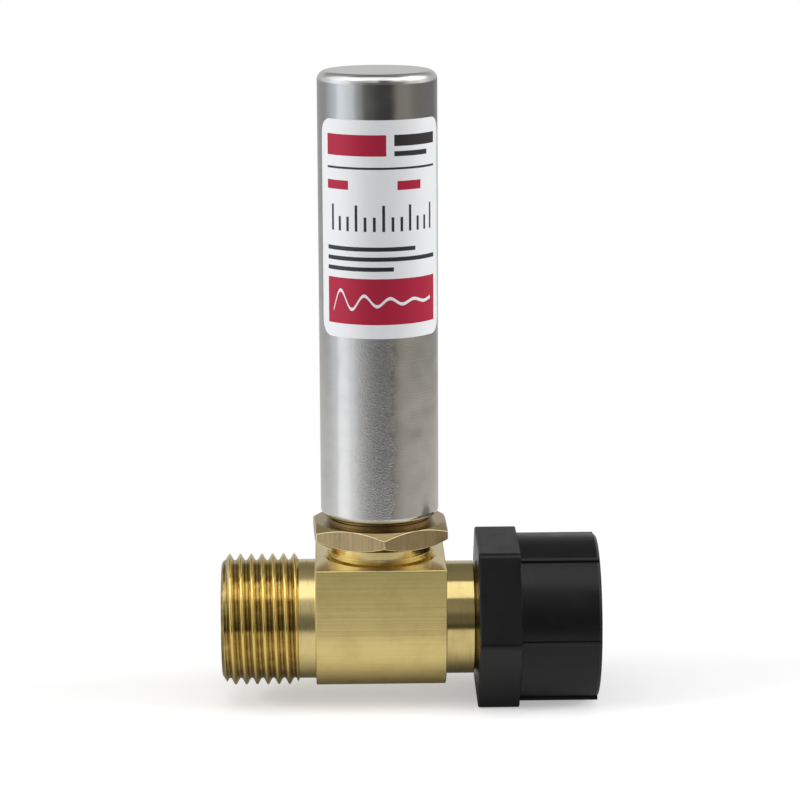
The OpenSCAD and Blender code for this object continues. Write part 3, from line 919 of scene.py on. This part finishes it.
# straight ribs set evenly round the barrel, drawn up Z
def makeRibTree():
    tree, got, give = newGroup("barrelRibs", "GeometryNodeTree", {
        "Count": 6, "Radius": 0.017, "Turn": 0.0, "From": 0.0, "To": 0.016,
        "Base Width": 0.001, "Crest Width": 0.0006, "Rib Height": 0.0008, "Round": 0.0002, "Finish": None,
    }, Geometry="Geometry")
    section = addNode(tree, "GeometryNodeCurvePrimitiveQuadrilateral", {
        "Bottom Width": got["Base Width"], "Top Width": got["Crest Width"], "Height": got["Rib Height"],
        "Offset": 0.0,
    }, mode="TRAPEZOID")[0]
    softened = addNode(tree, "GeometryNodeFilletCurve", {
        "Curve": section, "Radius": got["Round"], "Count": 4,
    }, mode="POLY")[0]
    path = addNode(tree, "GeometryNodeCurvePrimitiveLine", {
        "Start": joinXyz(tree, 0.0, 0.0, got["From"]), "End": joinXyz(tree, 0.0, 0.0, got["To"]),
    })[0]
    rib = addNode(tree, "GeometryNodeCurveToMesh", {
        "Curve": path, "Profile Curve": softened, "Fill Caps": True,
    })[0]
    ring = addNode(tree, "GeometryNodeMeshCircle", {"Vertices": got["Count"], "Radius": got["Radius"]})[0]
    turned = addNode(tree, "GeometryNodeTransform", {
        "Geometry": ring, "Rotation": joinXyz(tree, 0.0, 0.0, got["Turn"]),
    })[0]
    at = splitXyz(tree, addNode(tree, "GeometryNodeInputPosition")[0])
    facing = joinXyz(tree, 0.0, 0.0, calc(tree, "ARCTAN2", at[1], at[0]))
    stood = addNode(tree, "GeometryNodeInstanceOnPoints", {
        "Points": turned, "Instance": rib, "Rotation": facing,
    })[0]
    giveShape(tree, stood, got["Finish"], give)
    return tree


def growRibs():
    tall = nutRibs["height"] + nutRibs["sink"]
    return growMesh("barrelRibs", makeRibTree(), {
        "Count": nutRibs["count"], "Radius": (nut["barrel"] + nutRibs["height"] - tall / 2) * mm,
        "Turn": math.radians(nut["hexTurn"]), "From": nutRibs["from"] * mm, "To": nutRibs["to"] * mm,
        "Base Width": nutRibs["width"] * mm, "Crest Width": nutRibs["crest"] * mm,
        "Rib Height": tall * mm, "Round": nutRibs["round"] * mm, "Finish": blackResin,
    }, runMatrix)


def makeNut():
    bm = bmesh.new()
    soft = bm.faces.layers.int.new("soft")
    n = nut
    loft(bm, hexRings(n, nutColumn, onRun), 0)
    addMesh(bm, growThread("nutThread", nutThread, runMatrix, blackResin), 0, soft)
    inside = roundedProfile([
        (n["lip"] + 0.5, n["left"], 0), (n["lip"], n["left"], 0.3), (n["lip"], n["lipEnd"], 0.15),
        (n["pocket"], n["lipEnd"], 0.3), (n["pocket"], nutThread["start"], 0),
    ])
    loft(bm, latheRings(inside, nutThread["columns"], onRun), 0)
    weld(bm)
    planeFill(bm, 0, branchX + n["left"], 0)
    planeFill(bm, 0, branchX + n["mouth"], 0)
    addMesh(bm, growRibs(), 0)
    return finishPiece("swivelNut", bm, [blackResin], soft)


swivelNut = makeNut()
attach(swivelNut, "nut_unit")
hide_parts("swivel_nut")
print("nut made")


# CAD nodes that keep their shape

keptFinish = {
    "chamber_tube": stainless, "chamber_label": labelFilm, "adapter_ring": sealRubber, "piston": pistonResin,
    "piston_ring_lower": sealRubber, "piston_ring_upper": sealRubber, "nut_retaining_ring": springWire,
    "hose_washer": washerRubber,
}
for node, finish in keptFinish.items():
    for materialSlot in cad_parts[node].material_slots:
        materialSlot.material = finish
print("CAD nodes finished")


# floor, world, lamps and camera

stageLook = {
    "radius": 0.17, "segments": 96, "shift": 0.006, "gap": 0.00005, "fadeFrom": 0.42, "fadeTo": 0.80,
    "white": 0.82, "lift": 0.40, "shine": 0.04, "paintedShadowReach": (0.0, 0.021), "paintedShadowTone": 0.33, "diffuse": 0.22,
}


def lightPath(tree):
    rays = addNode(tree, "ShaderNodeLightPath")
    return rays["Is Camera Ray"], calc(tree, "MAXIMUM", rays["Is Glossy Ray"], rays["Is Transmission Ray"])


def mixShaders(tree, *inputs):
    return addNode(tree, "ShaderNodeMixShader", enumerate(inputs))[0]


# pale floor that keeps the shadow and fades into the white backdrop; metal mirrors it darker under the run, a
# painted shadow
def makeFloor():
    look, radius = stageLook, stageLook["radius"]
    middle = Vector((branchX * mm + look["shift"], 0, cadBox[0].z - look["gap"]))
    bm = bmesh.new()
    bmesh.ops.create_circle(bm, cap_ends=True, cap_tris=True, segments=look["segments"], radius=radius,
                            matrix=Matrix.Translation(middle))
    mesh = bpy.data.meshes.new("floor")
    bm.to_mesh(mesh)
    bm.free()
    floor = bpy.data.objects.new("floor", mesh)
    scene.collection.objects.link(floor)
    material = bpy.data.materials.new("paleFloor")
    material.use_nodes = True
    tree = material.node_tree
    tree.nodes.clear()
    seen, mirrored = lightPath(tree)
    place = addNode(tree, "ShaderNodeTexCoord")["Object"]
    aside = calc(tree, "ABSOLUTE", splitXyz(tree, place)[1])
    # painted shadow: what metal mirrors of the floor darkens under the run
    under = times(tree, mirrored, spread(tree, aside, *look["paintedShadowReach"], 1.0, 0.0))
    tone = blendColor(tree, under, (look["white"],) * 3, (look["paintedShadowTone"],) * 3)
    matt = addNode(tree, "ShaderNodeBsdfDiffuse", {"Color": tone})[0]
    strength = plus(tree, times(tree, seen, look["lift"]), times(tree, mirrored, look["shine"]))
    glow = addNode(tree, "ShaderNodeEmission", {"Strength": strength})[0]
    both = addNode(tree, "ShaderNodeAddShader", {0: matt, 1: glow})[0]
    away = vectorCalc(tree, "LENGTH", vectorCalc(tree, "SUBTRACT", place, tuple(middle)))
    fade = spread(tree, away, radius * look["fadeFrom"], radius * look["fadeTo"])
    clear = addNode(tree, "ShaderNodeBsdfTransparent")[0]
    addNode(tree, "ShaderNodeOutputMaterial", {0: mixShaders(tree, fade, both, clear)})
    mesh.materials.append(material)


# what metal mirrors, in bands from the floor up: compass turn from the camera's side, level, and any tint
studioTints = {"plain": (1.0, 1.0, 1.0), "cool": (0.93, 1.0, 1.07), "warm": (1.0, 0.955, 0.84)}
studioBands = {
    "floor": [(-180, 0.65), (-112, 0.78), (-92, 0.90), (-85, 1.26), (-67, 1.24), (-54, 0.90), (-30, 0.56),
              (-10, 0.36), (20, 0.28), (34, 0.42, "warm"), (55, 0.54, "warm"), (85, 0.62, "warm"),
              (115, 0.63, "warm"), (180, 0.65)],
    "skirt": [(-180, 0.45), (-122, 0.36), (-92, 0.66, "cool"), (-78, 1.02, "cool"), (-54, 0.80, "cool"),
              (-36, 0.34), (-22, 0.10), (4, 0.04), (24, 0.03), (42, 0.25, "warm"), (56, 0.24, "warm"),
              (80, 0.15, "warm"), (125, 0.18), (180, 0.45)],
    "horizon": [(-180, 0.62), (-150, 0.60), (-120, 0.80), (-85, 1.30, "cool"), (-60, 1.10), (-38, 0.40),
                (-14, 0.17), (14, 0.14), (40, 0.25), (70, 0.80, "warm"), (95, 1.00), (130, 0.60),
                (150, 0.60), (180, 0.62)],
    "ceiling": [(-180, 0.20), (-140, 0.45), (-112, 1.30), (-82, 1.50), (-50, 0.72), (-20, 0.58), (1, 0.66),
                (3.5, 0.10), (16, 0.14), (52, 0.80), (78, 1.70), (110, 1.80), (142, 0.45), (180, 0.20)],
}
# the heights between which each band takes over from the one below
studioEdges = {"skirt": (-0.26, -0.12), "horizon": (-0.07, 0.05), "ceiling": (0.28, 0.50)}
studioTop = {"from": 0.80, "to": 0.95, "level": 0.25}


def turnRamp(tree, share, turns, headroom=1.1):
    ramp = tree.nodes.new("ShaderNodeValToRGB")
    plug(tree, share, ramp.inputs[0])
    brightest = max(turn[1] for turn in turns) * headroom
    ramp.color_ramp.interpolation = "EASE"
    stops = ramp.color_ramp.elements
    while len(stops) < len(turns):
        stops.new(0.5)
    for stop, (degrees, level, *tint) in zip(stops, turns):
        stop.position = (degrees + 180) / 360
        color = studioTints[tint[0] if tint else "plain"]
        stop.color = tuple(level / brightest * part for part in color) + (1,)
    return scaled(tree, ramp.outputs[0], brightest)


def makeWorld():
    world = bpy.data.worlds.new("studio")
    scene.world = world
    world.use_nodes = True
    tree = world.node_tree
    tree.nodes.clear()
    seen, mirrored = lightPath(tree)
    x, y, z = splitXyz(tree, addNode(tree, "ShaderNodeTexCoord")["Generated"])
    turn = calc(tree, "ARCTAN2", x, times(tree, y, -1.0))
    share = spread(tree, turn, -math.pi, math.pi, kind="LINEAR")
    glow = turnRamp(tree, share, studioBands["floor"])
    for name, edges in studioEdges.items():
        glow = blendColor(tree, spread(tree, z, *edges), glow, turnRamp(tree, share, studioBands[name]))
    overhead = spread(tree, z, studioTop["from"], studioTop["to"])
    glow = blendColor(tree, overhead, glow, (studioTop["level"],) * 3)

    def background(color, strength):
        return addNode(tree, "ShaderNodeBackground", {"Color": color, "Strength": strength})[0]

    white = (1, 1, 1, 1)
    soft = mixShaders(tree, mirrored, background(white, stageLook["diffuse"]), background(glow, 1.0))
    addNode(tree, "ShaderNodeOutputWorld", {0: mixShaders(tree, seen, soft, background(white, 1.0))})


lampRig = {
    "leftSoftbox": {"at": (-0.90, -0.28, 0.30), "size": (0.45, 0.60), "watts": 6.5, "mirrored": False},
    "overhead": {"at": (-0.06, -0.24, 0.78), "size": (1.30, 0.56), "watts": 2.6, "mirrored": True},
    "rightFill": {"at": (0.85, -0.11, 0.25), "size": (0.35, 0.45), "watts": 6.4, "mirrored": False},
}
lampAim = (branchX * mm, 0, 0.035)


def makeLamps():
    for name, lamp in lampRig.items():
        data = bpy.data.lights.new(name, "AREA")
        data.shape = "RECTANGLE"
        data.size, data.size_y = lamp["size"]
        data.energy = lamp["watts"]
        holder = bpy.data.objects.new(name, data)
        scene.collection.objects.link(holder)
        holder.visible_glossy = lamp["mirrored"]  # the world already mirrors the others
        holder.location = lamp["at"]
        holder.rotation_euler = (Vector(lampAim) - Vector(lamp["at"])).to_track_quat("-Z", "Y").to_euler()


photoView = {
    "azimuth": -1.2862, "elevation": 11.521, "roll": -0.2857, "distance": 0.62606,
    "target": (-0.040143, 0.0, 0.045638), "lens": 138.84, "sensor": 36.0, "near": 0.01,
}


def makeCamera():
    az, el, roll = (math.radians(photoView[k]) for k in ("azimuth", "elevation", "roll"))
    back = Vector((math.sin(az) * math.cos(el), -math.cos(az) * math.cos(el), math.sin(el)))
    right = (-back).cross(Vector((0, 0, 1))).normalized()
    up = right.cross(-back)
    camX = right * math.cos(roll) + up * math.sin(roll)
    camY = up * math.cos(roll) - right * math.sin(roll)
    data = bpy.data.cameras.new("photoCamera")
    data.lens, data.sensor_width, data.clip_start = (photoView[k] for k in ("lens", "sensor", "near"))
    camera = bpy.data.objects.new("photoCamera", data)
    scene.collection.objects.link(camera)
    matrix = Matrix((camX, camY, back)).transposed().to_4x4()
    matrix.translation = Vector(photoView["target"]) + back * photoView["distance"]
    camera.matrix_world = matrix
    scene.camera = camera


makeFloor()
makeWorld()
makeLamps()
makeCamera()
scene.view_settings.view_transform = "Standard"
print("stage set")
